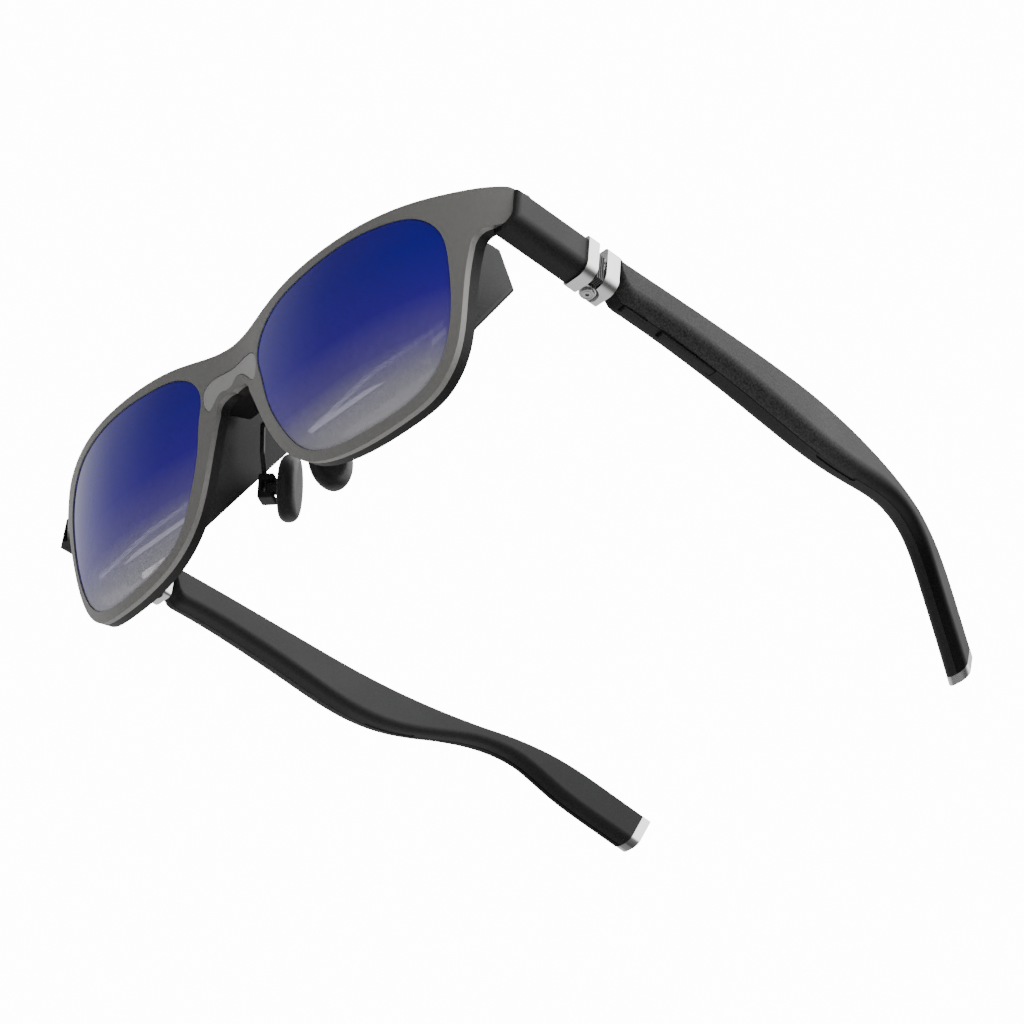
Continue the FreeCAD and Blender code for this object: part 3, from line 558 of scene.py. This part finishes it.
def smoothed(values):
    for _ in range(SMOOTH_ROUNDS):
        inner = [(a + 2 * b + c) / 4 for a, b, c in zip(values, values[1:], values[2:])]
        values = [values[0], *inner, values[-1]]
    return values


def temple_rows():
    """For cross sections along the left temple: back, inner, outer, bottom and top."""
    edges = []
    for node in ("temple_outer_left", "temple_inner_left", "temple_tip_cap_left"):
        shape = welded(node)
        edges += [[TO_LEVEL @ vertex.co for vertex in edge.verts] for edge in shape.edges]
        shape.free()
    middle, normal = tip_end()
    first = level_box("hinge_rear_ring_left")[1].y
    low_corner = level_box("temple_inner_left")[0].z
    # The end slopes, so whole sections stop ahead of its middle.
    last = middle.y + normal.z / normal.y * (middle.z - low_corner) - CAP_LENGTH
    rows = []
    for index in range(STATIONS):
        back = first + (last - first) * index / (STATIONS - 1)
        cuts = []
        for one, two in edges:
            if (one.y - back) * (two.y - back) < 0:
                cuts.append(one.lerp(two, (back - one.y) / (two.y - one.y)))
        sides = [cut.x for cut in cuts]
        ups = [cut.z for cut in cuts]
        rows.append([back, min(sides), max(sides), min(ups), max(ups)])
    rows = list(zip(*[smoothed(column) for column in zip(*rows)]))
    end = rows[-1]
    trend = [b - a for a, b in zip(rows[-1 - TREND_ROWS], end)]
    for extra in range(1, OVERRUN_ROWS + 1):
        rows.append([value + change * extra * OVERRUN_STEP for value, change in zip(end, trend)])
    return rows


def corner_arc(corner, before, after, radius, steps):
    """Points that round a square corner, entered along before and left along after."""
    centre = corner - before * radius + after * radius
    points = []
    for index in range(steps + 1):
        turn = math.pi / 2 * index / steps
        points.append(centre - after * radius * math.cos(turn) + before * radius * math.sin(turn))
    return points


def ring_section(corners, radii, steps):
    """A closed outline with right-angled corners, each rounded by its own radius."""
    corners = [Vector(corner) for corner in corners]
    points = []
    for index, corner in enumerate(corners):
        before = (corner - corners[index - 1]).normalized()
        after = (corners[(index + 1) % len(corners)] - corner).normalized()
        if radii[index]:
            points += corner_arc(corner, before, after, radii[index], steps[index])
        else:
            points.append(corner)
    return points


def shell_section(row, outer):
    """One half of the temple's hollow section: the outer or the inner casing."""
    _, inside, outside, bottom, top = row
    seam = inside + (outside - inside) * SEAM_SHARE
    limit = MOST_ROUND * (top - bottom)
    wall = min(WALL, MOST_WALL * (top - bottom))
    if outer:
        seam += SEAM_GAP
        far = outside
        low = min(LOW_ROUND, limit, outside - seam - SEAM_ROUND)
        hollow = outside - wall
    else:
        seam -= SEAM_GAP
        far = inside
        low = min(INNER_LOW_ROUND, limit)
        hollow = inside + wall
    corners = [
        (seam, bottom), (far, bottom), (far, top), (seam, top),
        (seam, top - wall), (hollow, top - wall), (hollow, bottom + wall), (seam, bottom + wall),
    ]
    radii = [SEAM_ROUND, low, min(HIGH_ROUND, limit), SEAM_ROUND, 0, 0, 0, 0]
    steps = [SEAM_STEPS, LOW_STEPS, HIGH_STEPS, SEAM_STEPS, 0, 0, 0, 0]
    return ring_section(corners, radii, steps)


def whole_section(row):
    """The temple's solid section, for the cap on its tip."""
    _, inside, outside, bottom, top = row
    limit = MOST_ROUND * (top - bottom)
    corners = [(inside, bottom), (outside, bottom), (outside, top), (inside, top)]
    radii = [min(INNER_LOW_ROUND, limit), min(LOW_ROUND, limit), HIGH_ROUND, HIGH_ROUND]
    return ring_section(corners, radii, [LOW_STEPS, LOW_STEPS, HIGH_STEPS, HIGH_STEPS])


def loft(rows, section):
    return skinned([[(point.x, row[0], point.y) for point in section(row)] for row in rows])


def speaker_slot(rows):
    """A round-ended slot over the speaker's grille that follows the temple's underside."""
    low_corner, high_corner = level_box("speaker_grille_left")
    start, finish = low_corner.y, high_corner.y
    rings = []
    for index in range(SLOT_STEPS + 1):
        back = start + (finish - start) * index / SLOT_STEPS
        _, inside, outside, bottom, _ = min(rows, key=lambda row: abs(row[0] - back))
        middle = inside + (outside - inside) * SLOT_SHARE
        from_end = min(1.0, min(back - start, finish - back) / SLOT_HALF_WIDTH)
        half = SLOT_HALF_WIDTH * math.sqrt(max(SLOT_NARROWEST ** 2, 1 - (1 - from_end) ** 2))
        low = bottom - SLOT_BELOW
        high = bottom + SLOT_ABOVE
        corners = [(middle - half, low), (middle + half, low), (middle + half, high), (middle - half, high)]
        rings.append([(side, back, up) for side, up in corners])
    return skinned(rings)


def button_well(node):
    low, high = level_box(node)
    below = Vector((BUTTON_GAP, BUTTON_GAP, WELL_BELOW))
    above = Vector((BUTTON_GAP, BUTTON_GAP, WELL_ABOVE))
    return box_shape(low - below, high + above)


def placed(shape, side):
    """Turns a left-hand, level shape into its place on one side of the glasses."""
    shape.transform(FROM_LEVEL.to_4x4())
    if side == "right":
        shape.transform(MIRRORED)
        bmesh.ops.reverse_faces(shape, faces=shape.faces)
    return shape


def build_casing(casing, side, rows, end, normal):
    """The outer or inner half of a temple, with its slot, its wells or its socket cut out."""
    is_outer = casing == "outer"
    slot = "temple_grey" if is_outer else "temple_black"
    node = f"temple_{casing}_{side}"
    shape = sliced(loft(rows, lambda row: shell_section(row, is_outer)), end, normal)
    piece = piece_from(placed(shape, side), f"{node}_casing", slot, node)
    cutters = [placed(speaker_slot(rows), side)]
    if side == "left":
        cutters += [placed(button_well(button), side) for button in ("mode_key", "volume_rocker")]
    else:
        cutters.append(hull_of("cable_port", PORT_GROWTH))
    carve(piece, cutters)
    crease(piece)


def build_cap(side, rows, tip, start, normal):
    """The silver cap between its start and the flat end of the tip."""
    node = f"temple_tip_cap_{side}"
    shape = sliced(loft(rows[STATIONS // 2:], whole_section), tip, normal)
    shape = placed(sliced(shape, start, -normal), side)
    piece = piece_from(shape, f"{node}_cast", "brushed_silver", node)
    bevel = piece.modifiers.new("edges", "BEVEL")
    bevel.width = CAP_ROUND
    bevel.segments = 4
    bevel.limit_method = "ANGLE"
    bevel.angle_limit = CAP_KEEN
    apply_modifiers(piece)
    if side == "right":
        carve(piece, [hull_of("cable_port", PORT_GROWTH)])
    crease(piece)


def build_temples():
    rows = temple_rows()
    tip, normal = tip_end()
    cap_start = tip - normal * CAP_LENGTH
    for side in SIDES:
        for casing in ("outer", "inner"):
            build_casing(casing, side, rows, cap_start - normal * CAP_GAP, normal)
        build_cap(side, rows, tip, cap_start, normal)


# ---------------------------------------------------------------- hinge screws

# The head from its socket outwards: radius, and height over its lowest point, in mm.
SCREW_HEAD = (
    (0.42, 0.35), (0.42, 0.04), (0.55, 0.0), (0.92, 0.0), (0.98, 0.09), (1.08, 0.09),
    (1.14, 0.0), (1.34, 0.01), (1.45, 0.06), (1.5, 0.18), (1.5, 0.55), (0.7, 0.55),
)
SHANK = 0.7 * MM
SHANK_EDGE = 0.15 * MM
TURNED_STEPS = 48
TURNED_CREASE = math.radians(30)


def turned_ring(radius, height, origin, turn):
    points = []
    for index in range(TURNED_STEPS):
        angle = 2 * math.pi * index / TURNED_STEPS
        point = Vector((radius * math.cos(angle), radius * math.sin(angle), height))
        points.append(origin + turn @ point)
    return points


def hinge_screw(side):
    """The hinge's pin: a shank and a domed head with a turned groove and a socket."""
    node = f"hinge_pin_{side}"
    origin = Vector(JOINTS[f"temple_fold_{side}"]["pos_m"])
    turn = Vector((0, 0, 1)).rotation_difference(TEMPLE_UP).to_matrix()
    heights = [(vertex.co - origin).dot(TEMPLE_UP) for vertex in frame["nodes"][node].data.vertices]
    low, high = min(heights), max(heights)
    profile = [(radius * MM, low + height * MM) for radius, height in SCREW_HEAD]
    profile += [(SHANK, high - SHANK_EDGE), (SHANK - SHANK_EDGE, high)]
    shape = skinned([turned_ring(radius, height, origin, turn) for radius, height in profile])
    crease(piece_from(shape, f"hinge_screw_{side}", "steel", node), TURNED_CREASE)


# ---------------------------------------------------------------- the whole model

# Nodes with rounded edges: how wide the rounding is, in mm, and its segments.
ROUNDED_PAIRS = {
    "hinge_front_ring": (0.18, 3),
    "hinge_rear_ring": (0.18, 3),
    "hinge_flex_boot": (0.1, 2),
    "optics_housing": (0.45, 4),
    "pad_box": (0.5, 4),
}
ROUNDED_SINGLES = {
    "front_bezel": (0.22, 3),
    "main_frame": (0.35, 3),
    "bridge_cover": (0.4, 3),
    "mode_key": (0.3, 3),
    "volume_rocker": (0.3, 3),
}
WIRE_VOXEL = 0.13 * MM
WIRE_ROUNDS = 5
PAD_VOXEL = 0.28 * MM
PAD_ROUNDS = 10


def dress_nodes():
    """Gives every CAD node that still shows the finish of its slot."""
    for name, node in frame["nodes"].items():
        is_splitter = name.startswith("beam_splitter")
        node.data.materials[0] = SPLITTER if is_splitter else FINISHES[slot_of(name)]
    # The socket's shell shows along the temple's upper edge, so it is as black as the temple.
    frame["nodes"]["cable_port"].data.materials[0] = FINISHES["temple_black"]


build_temples()
for side in SIDES:
    hinge_screw(side)
    for node, (width, segments) in ROUNDED_PAIRS.items():
        rounded(f"{node}_{side}", width * MM, segments)
    softened(f"nose_wire_{side}", WIRE_VOXEL, WIRE_ROUNDS, "electronic_black")
    softened(f"nose_pad_{side}", PAD_VOXEL, PAD_ROUNDS, "silicone")
for node, (width, segments) in ROUNDED_SINGLES.items():
    rounded(node, width * MM, segments)
dress_nodes()


# ---------------------------------------------------------------- stage, light and camera

FLOOR_DROP = 0.65
FLOOR_REACH = 60.0
SOFTBOX_PLACE = Vector((0.1, 0.1, 1.2))
SOFTBOX_SIZE = 1.2
SOFTBOX_POWER = 6
CAMERA_PLACE = Vector((0.37144, -0.35589, -0.31234))
CAMERA_RIGHT = Vector((0.6754, 0.73705, -0.02479))
CAMERA_UP = Vector((0.428, -0.36438, 0.82702))
CAMERA_FORWARD = Vector((-0.6005, 0.56921, 0.56154))
CAMERA_LENS = 98.4375
CAMERA_SENSOR = 36.0
CAMERA_NEAR = 0.05
CAMERA_FAR = 30.0
SEEN_WHITE = 18.0
SEEN_THROUGH = 0.42
# Lobes of the dome: the way to the lobe, where it starts and is full, and its brightness.
LOBES = (
    ((0, 0, 1), -2.0, 1.2, 0.32),
    ((0.6, 0.35, 0.6), 0.4, 1.0, 3.6),
    ((-1.0, 0.15, 0.2), 0.5, 1.0, 0.8),
    ((-0.35, 0.5, -0.8), 0.6, 1.0, 0.9),
)


def floor():
    """A wide pale floor, well below the glasses, with a faint mottle."""
    mesh = bpy.data.meshes.new("floor")
    corners = [(-1, -1), (1, -1), (1, 1), (-1, 1)]
    points = [(x * FLOOR_REACH, y * FLOOR_REACH, -FLOOR_DROP) for x, y in corners]
    mesh.from_pydata(points, [], [(0, 1, 2, 3)])
    plane = bpy.data.objects.new("floor", mesh)
    bpy.context.scene.collection.objects.link(plane)
    finish = Finish("floor_pale", (0.8, 0.8, 0.8), 0.7)
    finish.colour_from(finish.ramp(finish.noise(0.3), [(0.3, 0.78), (0.7, 0.82)]))
    mesh.materials.append(finish.material)
    plane.visible_glossy = False


def lobe(tree, place, direction, low, high, peak):
    """The brightness of one soft lobe of the dome."""
    dot = tree.nodes.new("ShaderNodeVectorMath")
    dot.operation = "DOT_PRODUCT"
    dot.inputs[1].default_value = Vector(direction).normalized()
    span = tree.nodes.new("ShaderNodeMapRange")
    span.interpolation_type = "SMOOTHSTEP"
    span.inputs["From Min"].default_value = low
    span.inputs["From Max"].default_value = high
    span.inputs["To Max"].default_value = peak
    tree.links.new(place, dot.inputs[0])
    tree.links.new(dot.outputs["Value"], span.inputs["Value"])
    return span.outputs["Result"]


def world():
    """White for the camera, dimmer through the lenses; for the glasses, a dome of lobes."""
    sky = bpy.data.worlds.new("studio")
    bpy.context.scene.world = sky
    sky.use_nodes = True
    tree = sky.node_tree
    tree.nodes.clear()
    link = tree.links.new
    output = tree.nodes.new("ShaderNodeOutputWorld")
    seen = tree.nodes.new("ShaderNodeBackground")
    dome = tree.nodes.new("ShaderNodeBackground")
    place = tree.nodes.new("ShaderNodeTexCoord").outputs["Generated"]
    total = lobe(tree, place, *LOBES[0])
    for settings in LOBES[1:]:
        add = tree.nodes.new("ShaderNodeMath")
        link(total, add.inputs[0])
        link(lobe(tree, place, *settings), add.inputs[1])
        total = add.outputs["Value"]
    path = tree.nodes.new("ShaderNodeLightPath")
    mix = tree.nodes.new("ShaderNodeMixShader")
    behind = tree.nodes.new("ShaderNodeMapRange")
    behind.inputs["To Min"].default_value = SEEN_WHITE
    behind.inputs["To Max"].default_value = SEEN_THROUGH
    link(path.outputs["Transparent Depth"], behind.inputs["Value"])
    link(behind.outputs["Result"], seen.inputs["Strength"])
    link(total, dome.inputs["Strength"])
    link(path.outputs["Is Camera Ray"], mix.inputs["Fac"])
    link(dome.outputs["Background"], mix.inputs[1])
    link(seen.outputs["Background"], mix.inputs[2])
    link(mix.outputs["Shader"], output.inputs["Surface"])


def softbox():
    """A soft square light over the glasses, which neither the camera nor gloss can see."""
    light = bpy.data.lights.new("over", "AREA")
    light.shape = "RECTANGLE"
    light.size = SOFTBOX_SIZE
    light.size_y = SOFTBOX_SIZE
    light.energy = SOFTBOX_POWER
    thing = bpy.data.objects.new("over", light)
    bpy.context.scene.collection.objects.link(thing)
    thing.location = (Vector(CAD_BOX[0]) + Vector(CAD_BOX[1])) / 2 + SOFTBOX_PLACE
    thing.rotation_euler = (-SOFTBOX_PLACE).to_track_quat("-Z", "Y").to_euler()
    thing.visible_camera = False
    thing.visible_glossy = False


def camera():
    lens = bpy.data.cameras.new("camera")
    lens.lens = CAMERA_LENS
    lens.sensor_width = CAMERA_SENSOR
    lens.clip_start = CAMERA_NEAR
    lens.clip_end = CAMERA_FAR
    thing = bpy.data.objects.new("camera", lens)
    bpy.context.scene.collection.objects.link(thing)
    turn = Matrix((CAMERA_RIGHT, CAMERA_UP, -CAMERA_FORWARD)).transposed()
    thing.matrix_world = Matrix.Translation(CAMERA_PLACE) @ turn.to_4x4()
    bpy.context.scene.camera = thing


floor()
world()
softbox()
camera()
